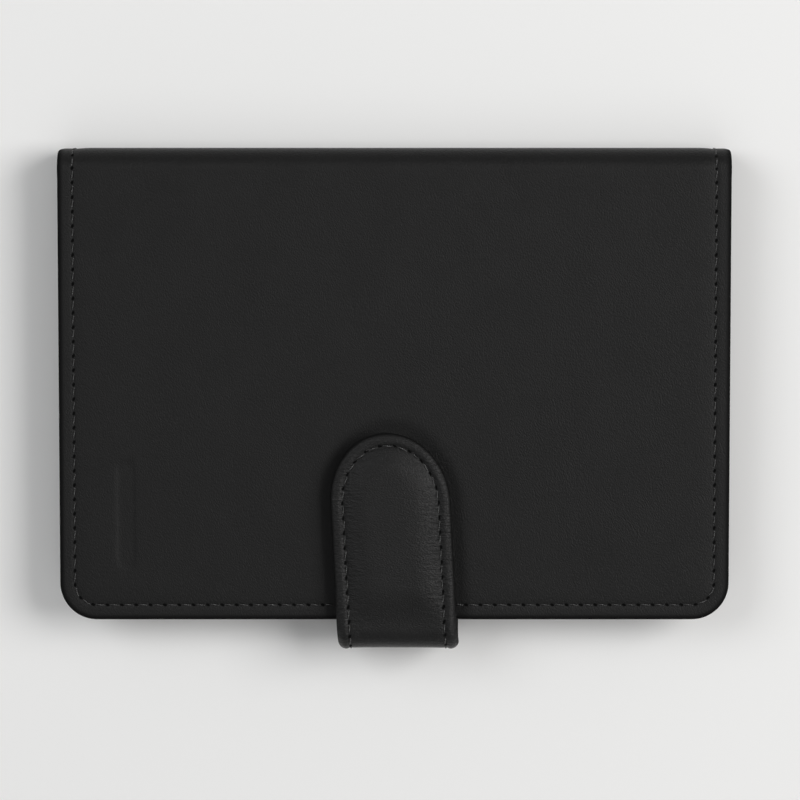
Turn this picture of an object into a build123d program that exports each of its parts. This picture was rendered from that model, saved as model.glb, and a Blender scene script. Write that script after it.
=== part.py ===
"""A bifold leather passport wallet, closed, lying on its back cover, a snap strap round its open edge.

Frame: millimetres, +X along the spine, +Y towards the spine, +Z up. The origin is the middle of the back
cover's outer face. Each cover is a stack of thin layers, and "depth" is always counted inwards from the
outer leather face. A hide that crosses a fold is one piece on the real wallet, and here one solid on each
side of the fold.
"""

from build123d import *
from math import cos, pi, radians, sin
import os

# Whole wallet
LENGTH = 145.0  # along the spine
WIDTH = 102.0  # opening edge to spine
THICKNESS = 14.2  # outer face to outer face, without the strap
CORNER_R = 8.0
SPINE_R = 4.5  # outer bend of the hide at each edge of the spine

# Layers of a cover
LEATHER = 1.0
EDGE_R = 0.7  # rounding of the folded edge
BOARD = 0.8
BOARD_TO_FOLD = 1.5  # from the board's edge to the start of the bend
TURN_IN = 0.6  # skived edge of the hide, folded over the board
TURN_IN_WIDTH = 9.0
LINING = 0.4
LINING_INSET = 1.5
PANEL = 0.7  # leather of the inside pockets
SPINE_TAPE = 0.4

# Inside pockets
SLEEVE_DEPTH = 81.0  # from the opening edge to the sleeve's mouth
SLEEVE_GAP = 0.8
HEM = 4.0  # stitched edge of a pocket
POCKET_WIDTH = 74.0  # of the slip pocket, from the opening edge
POCKET_LONG, POCKET_SHORT = 87.0, 76.0  # the slanted mouth's two heights
SLIP_GAP = 0.7
POUCH_SHEET = 0.3
CARD_GAP = 0.9
POUCH_RIM = 2.5
POUCH_PLAY = 0.1  # between the pouch and the pocket's hems
SLOT_LENGTH, SLOT_WIDTH, SLOT_SLIT = 60.0, 5.0, 1.0
SLOT_HEIGHT = 67.0  # of the card slot's middle above the pocket's closed end
SLOT_FROM_EDGE = 7.5
SLOT_SEAM_OUT = 1.5  # beyond the welts
WELT_DROP = 0.1  # the welts' underside above the pocket's

# Seams
SEAM_INSET = 3.3
THREAD = 0.5
THREAD_DEPTH = 0.3

# Strap
STRAP_WIDTH = 26.0
STRAP_TIP_Y = -9.9
STRAP_OVERHANG = 6.3  # beyond the opening edge
STRAP_R = 5.0  # outer bend of the strap
STRAP_LEATHER = 0.9
STRAP_FILLER = 0.6
STRAP_END_LENGTH = 15.2  # of the half ellipse that ends the strap
STRAP_SEAM_INSET = 2.75
TONGUE_DEPTH = 12.0  # of the strap's root inside the back cover
TONGUE_PLAY = 0.3
TONGUE_LAYER = 0.6
EDGE_GAP = 0.3  # between the strap's full thickness and the cover's edge

# Snap
SNAP_Y = -25.0
SNAP_STACK = 2.2  # strap to cover where the snap holds them apart
STUD_BASE_R, STUD_BASE_H = 5.25, 0.4
STUD_HEAD_R, STUD_NECK_R = 2.6, 2.2
STUD_H, STUD_HEAD_H, STUD_TOP = 1.5, 0.4, 0.3
SOCKET_R, SOCKET_H, SOCKET_TOP = 5.75, 1.7, 0.3
SOCKET_MOUTH_R = 3.1
SOCKET_LIP = 0.15  # below the spring's groove
SPRING_R, SPRING_WIRE_R, SPRING_SPLIT = 3.2, 0.15, 1.2
GROOVE_PLAY = 0.05
POST_R, POST_FLARE_R, POST_FLARE_H = 1.5, 2.1, 0.2
CAP_R = 6.0
EYELET_R, EYELET_WALL, EYELET_FLANGE_R, EYELET_FLANGE_H = 1.6, 0.4, 5.0, 0.5
RIVET_PLAY = 0.05

FOLD_GAP_DEG = 2.0  # half the angle left open at the middle of each bend
HALF_BEND = 45 - FOLD_GAP_DEG, 45 + FOLD_GAP_DEG  # where the first half of a bend ends and the second starts

# Places worked out from the dimensions
Y_OPEN = -WIDTH / 2
Y_SPINE = WIDTH / 2
Y_FOLD = Y_SPINE - SPINE_R
Y_BOARD = Y_FOLD - BOARD_TO_FOLD
CORE = LEATHER + BOARD
BASE = CORE + TURN_IN  # depth of the lining's underside
INSIDE = BASE + LINING
SLEEVE_UNDER = INSIDE + SLEEVE_GAP
POUCH_UNDER = INSIDE + SLIP_GAP
POCKET_UNDER = POUCH_UNDER + POUCH_SHEET + CARD_GAP
SLEEVE_MOUTH_Y = Y_OPEN + SLEEVE_DEPTH
STRAP = 2 * STRAP_LEATHER + STRAP_FILLER
STRAP_LOW = BASE + TONGUE_LAYER - STRAP / 2
STRAP_TOP = THICKNESS + SNAP_STACK + STRAP
Y_STRAP = Y_OPEN - STRAP_OVERHANG
Y_STRAP_BEND = Y_STRAP + STRAP_R

MIDDLE = Plane.XY.offset(THICKNESS / 2)
STRAP_MIDDLE = Plane.XY.offset((STRAP_LOW + STRAP_TOP) / 2)


def flipped(shape):
    """The same shape in the front cover, which mirrors the back cover."""
    return mirror(shape, about=MIDDLE)


def slab(x0, x1, y0, y1, z0, z1):
    return Pos((x0 + x1) / 2, (y0 + y1) / 2, (z0 + z1) / 2) * Box(x1 - x0, y1 - y0, z1 - z0)


def cover_plate(inset, low, high, y_end=Y_BOARD):
    """A layer of a cover, its two free corners rounded, from one depth to another."""
    y0 = Y_OPEN + inset
    face = Pos(0, (y0 + y_end) / 2) * Rectangle(LENGTH - 2 * inset, y_end - y0)
    face = fillet(face.vertices().sort_by(Axis.Y)[:2], max(CORNER_R - inset, 0.5))
    return Pos(0, 0, low) * extrude(face, high - low)


def cover_seam(low, high, y_end):
    """The seam's groove round the three free sides of a cover."""
    half = THREAD / 2
    outer = cover_plate(SEAM_INSET - half, low, high, y_end)
    return outer - cover_plate(SEAM_INSET + half, low - 1, high + 1, y_end + 1)


def bend(y, z, way, radius, depths, angles, xs):
    """Part of a layer bent round the X axis at (y, z). Angles start straight down and turn towards Y * way."""

    def at(depth, angle):
        rho = radius - depth
        return (y + way * rho * sin(radians(angle)), z - rho * cos(radians(angle)))

    middle = (angles[0] + angles[1]) / 2
    (near, far), (first, last) = depths, angles
    with BuildSketch(Plane.YZ) as section:
        with BuildLine():
            ThreePointArc(at(near, first), at(near, middle), at(near, last))
            Line(at(near, last), at(far, last))
            ThreePointArc(at(far, last), at(far, middle), at(far, first))
            Line(at(far, first), at(near, first))
        make_face()
    return Pos(xs[0], 0, 0) * extrude(section.sketch, xs[1] - xs[0], dir=(1, 0, 0))


def cover_bend(depths, xs):
    """A cover's half of the bend between it and the spine."""
    return bend(Y_FOLD, SPINE_R, 1, SPINE_R, depths, (0, HALF_BEND[0]), xs)


def spine_layer(depths, xs):
    """A layer of the spine: half a bend, the flat back of the spine, and half a bend."""
    low = bend(Y_FOLD, SPINE_R, 1, SPINE_R, depths, (HALF_BEND[1], 90), xs)
    wall = slab(*xs, Y_SPINE - depths[1], Y_SPINE - depths[0], SPINE_R, THICKNESS - SPINE_R)
    return low + wall + flipped(low)


def both_ends(inset, width):
    """The X spans of a strip along each end of the wallet."""
    edge = LENGTH / 2 - inset
    return [(-edge, -edge + width), (edge - width, edge)]


def seam_ends():
    return both_ends(SEAM_INSET - THREAD / 2, THREAD)


# ---- covers ----


def cover_leather():
    """The hide of one cover, its edge folded over the board on the three free sides."""
    block = cover_plate(0, 0, BASE)
    rims = block.faces().sort_by(Axis.Z)
    edges = rims[0].edges() + rims[-1].edges()
    block = fillet([edge for edge in edges if edge.center().Y < Y_BOARD - EDGE_R], EDGE_R)
    block -= cover_plate(LEATHER, LEATHER, CORE, Y_BOARD + 1)
    block -= cover_plate(TURN_IN_WIDTH, CORE, BASE + 1, Y_BOARD + 1)
    full = (-LENGTH / 2, LENGTH / 2)
    block += slab(*full, Y_BOARD, Y_FOLD, 0, LEATHER) + cover_bend((0, LEATHER), full)
    for xs in both_ends(0, TURN_IN_WIDTH):
        block += slab(*xs, Y_BOARD, Y_FOLD, LEATHER, LEATHER + TURN_IN)
        block += cover_bend((LEATHER, LEATHER + TURN_IN), xs)
    return block - outer_seam()


def outer_seam():
    """The thread that shows on the hide's outer face."""
    thread = cover_seam(0, THREAD_DEPTH, Y_FOLD)
    for xs in seam_ends():
        thread += cover_bend((0, THREAD_DEPTH), xs)
    return thread


def board():
    return cover_plate(LEATHER, LEATHER, CORE)


def infill():
    """The sheet that levels the board between its turned-in edges."""
    return cover_plate(TURN_IN_WIDTH, CORE, BASE)


def lining():
    """The lining steps down off the board's edge and follows the hide into the bend."""
    edge = LENGTH / 2 - LINING_INSET
    low, high = LEATHER + TURN_IN, LEATHER + TURN_IN + LINING
    step = slab(-edge, edge, Y_BOARD, Y_BOARD + LINING, low, INSIDE)
    foot = slab(-edge, edge, Y_BOARD, Y_FOLD, low, high)
    return cover_plate(LINING_INSET, BASE, INSIDE) + step + foot + cover_bend((low, high), (-edge, edge))


def lining_seam(y0, y1):
    """The seam's thread on the lining, beyond a pocket's edge."""
    return [slab(*xs, y0, y1, INSIDE - THREAD_DEPTH, INSIDE) for xs in seam_ends()]


# ---- spine ----


def spine_leather():
    hide = spine_layer((0, LEATHER), (-LENGTH / 2, LENGTH / 2))
    for xs in both_ends(0, TURN_IN_WIDTH):
        hide += spine_layer((LEATHER, LEATHER + TURN_IN), xs)
    return hide - spine_seam()


def spine_seam():
    (left, right) = seam_ends()
    return spine_layer((0, THREAD_DEPTH), left) + spine_layer((0, THREAD_DEPTH), right)


def spine_tape():
    """The strip that keeps the spine flat, between the turned-in edges."""
    edge = LENGTH / 2 - TURN_IN_WIDTH
    return spine_layer((LEATHER, LEATHER + SPINE_TAPE), (-edge, edge))


def spine_lining():
    edge = LENGTH / 2 - LINING_INSET
    depth = LEATHER + TURN_IN
    return spine_layer((depth, depth + LINING), (-edge, edge))


# ---- back cover ----


def tongue_room(low, high):
    """Room for the strap's root between the layers of the back cover."""
    half = STRAP_WIDTH / 2 + TONGUE_PLAY
    return slab(-half, half, Y_OPEN - 1, Y_OPEN + TONGUE_DEPTH + TONGUE_PLAY, low, high)


def back_lining():
    sheet = lining() - tongue_room(BASE, INSIDE)
    for thread in lining_seam(SLEEVE_MOUTH_Y, Y_BOARD):
        sheet -= thread
    return sheet


def sleeve_seam():
    top = SLEEVE_UNDER + PANEL
    return cover_seam(top - THREAD_DEPTH, top, SLEEVE_MOUTH_Y)


def sleeve_mouth_seam():
    top = SLEEVE_UNDER + PANEL
    edge = LENGTH / 2 - SEAM_INSET - 2 * THREAD
    y = SLEEVE_MOUTH_Y - HEM / 2
    return slab(-edge, edge, y - THREAD / 2, y + THREAD / 2, top - THREAD_DEPTH, top)


def passport_sleeve():
    """A leather panel on three stitched hems, open towards the spine. The hems are solids of their own."""
    panel = cover_plate(LINING_INSET, SLEEVE_UNDER, SLEEVE_UNDER + PANEL, SLEEVE_MOUTH_Y)
    panel -= sleeve_seam()
    panel -= sleeve_mouth_seam()
    hem = cover_plate(LINING_INSET, INSIDE, SLEEVE_UNDER, SLEEVE_MOUTH_Y)
    hem -= cover_plate(LINING_INSET + HEM, INSIDE - 1, SLEEVE_UNDER + 1, SLEEVE_MOUTH_Y + 1)
    hem -= tongue_room(INSIDE - 1, SLEEVE_UNDER + 1)
    return [panel, *hem.solids()]


# ---- front cover, in the back cover's place until it is flipped ----


def pocket_face(inset=0.0, rounded=True):
    """The slip pocket's outline, its mouth slanting across towards the spine."""
    x0 = -LENGTH / 2 + LINING_INSET + inset
    y0 = Y_OPEN + LINING_INSET + inset
    y1 = Y_OPEN + LINING_INSET + POCKET_WIDTH - inset
    slope = (POCKET_LONG - POCKET_SHORT) / POCKET_WIDTH
    reach = -LENGTH / 2 + POCKET_LONG - inset

    def mouth(y):
        return reach - slope * (y - Y_OPEN - LINING_INSET)

    face = make_face(Polyline((x0, y0), (mouth(y0), y0), (mouth(y1), y1), (x0, y1), close=True))
    if not rounded:
        return face
    corner = face.vertices().sort_by(Axis.X)[:2].sort_by(Axis.Y)[:1]
    return fillet(corner, CORNER_R - LINING_INSET - inset)


def pocket_plate(inset, low, high):
    return Pos(0, 0, low) * extrude(pocket_face(inset), high - low)


def slot_box(width, low, high, grow=0.0):
    """A box over the card slot, which runs along Y."""
    x = -LENGTH / 2 + SLOT_HEIGHT
    y0 = Y_OPEN + SLOT_FROM_EDGE - grow
    y1 = y0 + SLOT_LENGTH + 2 * grow
    return slab(x - width / 2, x + width / 2, y0, y1, low, high)


def slot_seam():
    """The seam round the card slot's welts."""
    top = POCKET_UNDER + PANEL
    near, far = SLOT_SEAM_OUT - THREAD / 2, SLOT_SEAM_OUT + THREAD / 2
    ring = slot_box(SLOT_WIDTH + 2 * far, top - THREAD_DEPTH, top, far)
    return ring - slot_box(SLOT_WIDTH + 2 * near, top - 1, top + 1, near)


def pocket_edge_seam():
    """The seam along the pocket's spine side and along its slanted mouth."""
    top = POCKET_UNDER + PANEL
    inset, half = HEM / 2, THREAD / 2
    ring = Pos(0, 0, top - THREAD_DEPTH) * extrude(
        pocket_face(inset - half, False) - pocket_face(inset + half, False), THREAD_DEPTH
    )
    edge = -LENGTH / 2 + SEAM_INSET + 2 * THREAD
    open_edge = Y_OPEN + SEAM_INSET + 2 * THREAD
    return ring & slab(edge, LENGTH / 2, open_edge, Y_SPINE, 0, top + 1)


def pocket_rim_seam():
    """The cover's own seam where it runs over the slip pocket."""
    top = POCKET_UNDER + PANEL
    seam = cover_seam(top - THREAD_DEPTH, top, Y_OPEN + LINING_INSET + POCKET_WIDTH)
    return seam & pocket_plate(0, 0, top + 1)


def slip_pocket():
    """A leather panel on three stitched hems, open at its slanted mouth, with a window for the card slot."""
    top = POCKET_UNDER + PANEL
    panel = pocket_plate(0, POCKET_UNDER, top) - slot_box(SLOT_WIDTH, POCKET_UNDER - 1, top + 1)
    for thread in (slot_seam(), pocket_edge_seam(), pocket_rim_seam()):
        panel -= thread
    hem = pocket_plate(0, INSIDE, POCKET_UNDER)
    x0, y0 = -LENGTH / 2 + LINING_INSET + HEM, Y_OPEN + LINING_INSET + HEM
    y1 = Y_OPEN + LINING_INSET + POCKET_WIDTH - HEM
    hem -= slab(x0, LENGTH / 2, y0, y1, INSIDE - 1, POCKET_UNDER + 1)
    return [panel, *hem.solids()]


def card_pouch():
    """The card slot's pouch: a thin sheet, and the glued rim that joins it to the back of the pocket."""
    x0 = -LENGTH / 2 + LINING_INSET + HEM + POUCH_PLAY
    x1 = -LENGTH / 2 + SLOT_HEIGHT + SLOT_WIDTH / 2 + POUCH_RIM
    y0 = Y_OPEN + LINING_INSET + HEM + POUCH_PLAY
    y1 = Y_OPEN + LINING_INSET + POCKET_WIDTH - HEM - POUCH_PLAY
    low, high = POUCH_UNDER + POUCH_SHEET, POCKET_UNDER
    sheet = slab(x0, x1, y0, y1, POUCH_UNDER, low)
    slot = Y_OPEN + SLOT_FROM_EDGE
    card = slab(x0 + POUCH_RIM, x1 - POUCH_RIM, slot, slot + SLOT_LENGTH, low - 1, high + 1)
    return [sheet, slab(x0, x1, y0, y1, low, high) - card]


def card_slot_welts():
    """The two leather lips of the card slot."""
    low, high = POCKET_UNDER + WELT_DROP, POCKET_UNDER + PANEL
    lips = slot_box(SLOT_WIDTH, low, high) - slot_box(SLOT_SLIT, low - 1, high + 1, 1)
    return list(lips.solids())


def front_lining():
    sheet = lining()
    for thread in front_lining_seam():
        sheet -= thread
    return sheet


def front_lining_seam():
    """The cover's seam on the lining, where the slip pocket doesn't cover it."""
    seam = cover_seam(INSIDE - THREAD_DEPTH, INSIDE, Y_BOARD) - pocket_plate(0, 0, INSIDE + 1)
    return list(seam.solids())


# ---- strap ----


def strap_bend(depths, angles, xs):
    return bend(Y_STRAP_BEND, STRAP_LOW + STRAP_R, -1, STRAP_R, depths, angles, xs)


def strap_root_layer(depths, xs):
    """A strap layer from the cover's edge to the middle of the first bend."""
    low, high = STRAP_LOW + depths[0], STRAP_LOW + depths[1]
    flat = slab(*xs, Y_STRAP_BEND, Y_OPEN - EDGE_GAP, low, high)
    return flat + strap_bend(depths, (0, HALF_BEND[0]), xs)


def strap_bridge_layer(depths, xs):
    """A strap layer across the opening edge, between the middles of its two bends."""
    low = strap_bend(depths, (HALF_BEND[1], 90), xs)
    z0, z1 = STRAP_LOW + STRAP_R, STRAP_TOP - STRAP_R
    wall = slab(*xs, Y_STRAP + depths[0], Y_STRAP + depths[1], z0, z1)
    return low + wall + mirror(low, about=STRAP_MIDDLE)


def strap_outline(inset):
    """The flap's outline: parallel sides and a half ellipse at the tip."""
    half, end = STRAP_WIDTH / 2 - inset, STRAP_END_LENGTH - inset
    y = STRAP_TIP_Y - STRAP_END_LENGTH
    sides = Pos(0, (Y_STRAP_BEND + y) / 2) * Rectangle(2 * half, y - Y_STRAP_BEND)
    return sides + (Pos(0, y) * Ellipse(half, end) & Pos(0, y + end / 2) * Rectangle(2 * half, end))


def strap_flap_layer(depths, inset):
    """A strap layer from the middle of the second bend to the tip."""
    flat = Pos(0, 0, STRAP_TOP - depths[1]) * extrude(strap_outline(inset), depths[1] - depths[0])
    half = STRAP_WIDTH / 2 - inset
    root = strap_bend(depths, (0, HALF_BEND[0]), (-half, half))
    return flat + mirror(root, about=STRAP_MIDDLE)


STRAP_XS = (-STRAP_WIDTH / 2, STRAP_WIDTH / 2)
CORE_XS = (-STRAP_WIDTH / 2 + STRAP_LEATHER, STRAP_WIDTH / 2 - STRAP_LEATHER)
OUTER_LAYER = (0, STRAP_LEATHER)
FILLER_LAYER = (STRAP_LEATHER, STRAP_LEATHER + STRAP_FILLER)
INNER_LAYER = (STRAP_LEATHER + STRAP_FILLER, STRAP)


def strap_seams(layer):
    """The side seams on both faces of a strap part. layer makes a strap layer from depths and an X span."""
    seams = []
    for side in (-1, 1):
        x = side * (STRAP_WIDTH / 2 - STRAP_SEAM_INSET)
        xs = (x - THREAD / 2, x + THREAD / 2)
        seams += [layer((0, THREAD_DEPTH), xs), layer((STRAP - THREAD_DEPTH, STRAP), xs)]
    return seams


def strap_part(layer):
    """The outer leather with its turned edges, the filler and the inner leather of one part of the strap."""
    outer = layer(OUTER_LAYER, STRAP_XS)
    for xs in ((STRAP_XS[0], CORE_XS[0]), (CORE_XS[1], STRAP_XS[1])):
        outer += layer(FILLER_LAYER, xs)
    filler = layer(FILLER_LAYER, CORE_XS)
    inner = layer(INNER_LAYER, STRAP_XS)
    for seam in strap_seams(layer):
        outer -= seam
        inner -= seam
    return outer, filler, inner


def tongue(low, high):
    """A skived strap layer glued between the back cover's layers."""
    half = STRAP_WIDTH / 2
    inside = slab(-half, half, Y_OPEN, Y_OPEN + TONGUE_DEPTH, low, high)
    return inside + slab(-half, half, Y_OPEN - EDGE_GAP, Y_OPEN, low, high)


def strap_flap():
    outer = strap_flap_layer((0, STRAP_LEATHER + STRAP_FILLER), 0)
    outer -= strap_flap_layer(FILLER_LAYER, STRAP_LEATHER)
    filler = strap_flap_layer(FILLER_LAYER, STRAP_LEATHER)
    inner = strap_flap_layer(INNER_LAYER, 0)
    seam = strap_flap_seam()
    for thread in seam:
        outer -= thread
        inner -= thread
    filler -= Pos(0, SNAP_Y, STRAP_TOP - STRAP) * Cylinder(CAP_R + RIVET_PLAY, 3 * STRAP)
    inner -= Pos(0, SNAP_Y, STRAP_TOP - STRAP) * Cylinder(POST_R + RIVET_PLAY, 3 * STRAP)
    return outer, filler, inner, seam


def strap_flap_seam():
    """The flap's seam on both faces, along its sides and round its tip."""
    half = THREAD / 2
    ring = strap_outline(STRAP_SEAM_INSET - half) - strap_outline(STRAP_SEAM_INSET + half)
    y = STRAP_TIP_Y - STRAP_END_LENGTH
    reach = STRAP_WIDTH
    ring &= Pos(0, (Y_STRAP_BEND + y) / 2 + reach) * Rectangle(reach, 2 * reach + y - Y_STRAP_BEND)
    seams = []
    for near, far in ((0, THREAD_DEPTH), (STRAP - THREAD_DEPTH, STRAP)):
        seam = Pos(0, 0, STRAP_TOP - far) * extrude(ring, far - near)
        for side in (-1, 1):
            x = side * (STRAP_WIDTH / 2 - STRAP_SEAM_INSET)
            root = strap_bend((near, far), (0, HALF_BEND[0]), (x - half, x + half))
            seam += mirror(root, about=STRAP_MIDDLE)
        seams.append(seam)
    return seams


# ---- snap ----


def turned(points):
    """A solid of revolution about the snap's axis, from (radius, height above the front cover) points."""
    face = Plane.XZ * make_face(Polyline(*points, close=True))
    return Pos(0, SNAP_Y, THICKNESS) * revolve(face, Axis.Z)


def snap_stud():
    """The stud on the front cover: a base ring and a headed post, bored for the eyelet."""
    bore = EYELET_R + RIVET_PLAY
    head = STUD_H - STUD_HEAD_H
    chamfer = STUD_HEAD_R - STUD_NECK_R
    half_base = STUD_BASE_H / 2
    return turned([
        (bore, 0), (STUD_BASE_R, 0), (STUD_BASE_R, half_base), (STUD_BASE_R - half_base, STUD_BASE_H),
        (STUD_NECK_R, STUD_BASE_H), (STUD_NECK_R, head - chamfer / 2), (STUD_HEAD_R, head),
        (STUD_HEAD_R, STUD_H - chamfer / 2), (STUD_HEAD_R - chamfer / 2, STUD_H),
        (0, STUD_H), (0, STUD_H - STUD_TOP), (bore, STUD_H - STUD_TOP),
    ])


def snap_eyelet():
    """The eyelet that holds the stud: a flange under the board and a barrel through board and leather."""
    end = STUD_H - STUD_TOP - RIVET_PLAY
    bore = EYELET_R - EYELET_WALL
    return turned([
        (0, -CORE - EYELET_FLANGE_H), (EYELET_FLANGE_R, -CORE - EYELET_FLANGE_H), (EYELET_FLANGE_R, -CORE),
        (EYELET_R, -CORE), (EYELET_R, end), (bore, end), (bore, -CORE), (0, -CORE),
    ])


def spring_height():
    """Height of the spring's middle above the front cover."""
    return SNAP_STACK - SOCKET_H + SOCKET_LIP + GROOVE_PLAY + SPRING_WIRE_R


def snap_socket():
    """The socket under the strap: a cup whose mouth takes the stud, grooved for the spring."""
    mouth, roof = SNAP_STACK - SOCKET_H, SNAP_STACK - SOCKET_TOP
    groove = SPRING_WIRE_R + GROOVE_PLAY
    low, high = spring_height() - groove, spring_height() + groove
    edge = SOCKET_R - SOCKET_TOP
    hole = POST_R + RIVET_PLAY
    return turned([
        (hole, SNAP_STACK), (edge, SNAP_STACK), (SOCKET_R, roof), (SOCKET_R, mouth + SOCKET_TOP),
        (edge, mouth), (SOCKET_MOUTH_R, mouth), (SOCKET_MOUTH_R, low), (SPRING_R + groove, low),
        (SPRING_R + groove, high), (SOCKET_MOUTH_R, high), (SOCKET_MOUTH_R, roof), (hole, roof),
    ])


def snap_spring():
    """The split ring that grips the stud under its head."""
    z = THICKNESS + spring_height()
    split = slab(0, 2 * SPRING_R, SNAP_Y - SPRING_SPLIT / 2, SNAP_Y + SPRING_SPLIT / 2, z - 1, z + 1)
    return Pos(0, SNAP_Y, z) * Torus(SPRING_R, SPRING_WIRE_R) - split


def snap_cap():
    """The cap hidden in the strap: a disc between its leathers, and a post flared inside the socket."""
    disc = SNAP_STACK + STRAP_LEATHER
    roof = SNAP_STACK - SOCKET_TOP
    return turned([
        (0, disc + STRAP_FILLER), (CAP_R, disc + STRAP_FILLER), (CAP_R, disc), (POST_R, disc),
        (POST_R, roof), (POST_FLARE_R, roof), (POST_FLARE_R, roof - POST_FLARE_H), (0, roof - POST_FLARE_H),
    ])


def snap_hole(radius, low, high):
    """A hole through the front cover's layers at the snap, between two depths."""
    height = high - low
    return Pos(0, SNAP_Y, THICKNESS - low - height / 2) * Cylinder(radius, height)


# ---- the wallet ----


def back_cover():
    outer, filler, inner = strap_part(strap_root_layer)
    return {
        "back_cover_leather": cover_leather(),
        "back_cover_board": board(),
        "back_cover_infill": infill(),
        "back_cover_lining": back_lining(),
        "back_cover_seam_thread": [outer_seam(), sleeve_seam(), *lining_seam(SLEEVE_MOUTH_Y, Y_BOARD)],
        "passport_sleeve": passport_sleeve(),
        "passport_sleeve_mouth_thread": sleeve_mouth_seam(),
        "strap_root_outer_leather": outer + tongue(BASE, BASE + TONGUE_LAYER),
        "strap_root_filler": filler,
        "strap_root_inner_leather": inner + tongue(BASE + TONGUE_LAYER, BASE + 2 * TONGUE_LAYER),
        "strap_root_thread": strap_seams(strap_root_layer),
    }


def spine():
    return {
        "spine_leather": spine_leather(),
        "spine_tape": spine_tape(),
        "spine_lining": spine_lining(),
        "spine_seam_thread": spine_seam(),
    }


def front_cover():
    bore = snap_hole(EYELET_R + RIVET_PLAY, -1, BASE)
    flange = snap_hole(EYELET_FLANGE_R + RIVET_PLAY, CORE, BASE + 0.01)
    seams = (outer_seam(), pocket_rim_seam(), *front_lining_seam())
    return {
        "front_cover_leather": flipped(cover_leather()) - bore,
        "front_cover_board": flipped(board()) - bore,
        "front_cover_infill": flipped(infill()) - flange,
        "front_cover_lining": flipped(front_lining()),
        "front_cover_seam_thread": [flipped(s) for s in seams],
        "slip_pocket": [flipped(s) for s in slip_pocket()],
        "slip_pocket_edge_thread": flipped(pocket_edge_seam()),
        "card_pouch": [flipped(s) for s in card_pouch()],
        "card_slot_welts": [flipped(s) for s in card_slot_welts()],
        "card_slot_thread": flipped(slot_seam()),
        "snap_stud": snap_stud(),
        "snap_stud_eyelet": snap_eyelet(),
    }


def strap_bridge():
    outer, filler, inner = strap_part(strap_bridge_layer)
    return {
        "strap_bridge_outer_leather": outer,
        "strap_bridge_filler": filler,
        "strap_bridge_inner_leather": inner,
        "strap_bridge_thread": strap_seams(strap_bridge_layer),
    }


def strap_end():
    outer, filler, inner, seam = strap_flap()
    return {
        "strap_flap_outer_leather": outer,
        "strap_flap_filler": filler,
        "strap_flap_inner_leather": inner,
        "strap_flap_thread": seam,
        "snap_cap": snap_cap(),
        "snap_socket": snap_socket(),
        "snap_socket_spring": snap_spring(),
    }


def solids_of(made):
    """Every solid in a shape, or in a list of shapes."""
    shapes = made if isinstance(made, list) else [made]
    return [solid for shape in shapes for solid in shape.solids()]


def hinge_axes():
    """(y, z) of each fold's axis, placed so that the outer face keeps its length when the fold opens."""
    inset = 1 - pi / 4
    spine_y, strap_y = Y_SPINE - inset * SPINE_R, Y_STRAP + inset * STRAP_R
    return {
        "spine_fold": (spine_y, inset * SPINE_R),
        "cover_fold": (spine_y, THICKNESS - inset * SPINE_R),
        "strap_root_fold": (strap_y, STRAP_LOW + inset * STRAP_R),
        "strap_flap_fold": (strap_y, STRAP_TOP - inset * STRAP_R),
    }


def main():
    os.makedirs("parts", exist_ok=True)
    for group in (back_cover(), spine(), front_cover(), strap_bridge(), strap_end()):
        for name, made in group.items():
            export_step(Compound(children=solids_of(made)), f"parts/{name}.step")
    for name, (y, z) in hinge_axes().items():
        print(f"{name} axis at y {y:.4f}, z {z:.4f}")


main()
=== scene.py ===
"""The looks of a bifold leather passport wallet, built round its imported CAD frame.

Every piece is made in millimetres, in the frame's own axes, and scaled to metres as it becomes a mesh.
A layer of leather or cloth is a plate: a grid of (u, s) points on the flattened layer, with an outer and an
inner depth at each. u runs along the spine, or across the strap, and s runs from a free edge towards a fold.
A wrap bends the flattened layer into place.
"""

from math import cos, pi, radians, sin, tan

import bpy
import numpy as np
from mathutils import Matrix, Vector


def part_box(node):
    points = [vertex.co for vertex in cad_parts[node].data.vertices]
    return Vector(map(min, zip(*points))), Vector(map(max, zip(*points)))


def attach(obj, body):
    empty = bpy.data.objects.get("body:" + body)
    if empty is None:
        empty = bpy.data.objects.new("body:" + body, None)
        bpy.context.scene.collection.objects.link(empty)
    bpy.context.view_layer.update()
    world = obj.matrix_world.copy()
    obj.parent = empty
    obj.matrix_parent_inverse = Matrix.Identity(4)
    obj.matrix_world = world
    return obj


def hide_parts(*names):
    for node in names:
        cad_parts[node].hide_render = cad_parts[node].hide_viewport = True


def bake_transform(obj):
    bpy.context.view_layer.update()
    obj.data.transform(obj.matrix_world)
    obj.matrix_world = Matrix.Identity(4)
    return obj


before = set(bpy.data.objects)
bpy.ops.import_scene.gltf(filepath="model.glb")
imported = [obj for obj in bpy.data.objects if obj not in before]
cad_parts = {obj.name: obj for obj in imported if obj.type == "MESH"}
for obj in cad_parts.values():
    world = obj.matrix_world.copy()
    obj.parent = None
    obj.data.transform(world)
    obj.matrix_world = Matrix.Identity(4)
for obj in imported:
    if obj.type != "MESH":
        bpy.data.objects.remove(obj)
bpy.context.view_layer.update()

MM = 0.001


def box_mm(node):
    low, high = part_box(node)
    return np.array(low) / MM, np.array(high) / MM


# ---- places read from the frame ----

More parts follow.
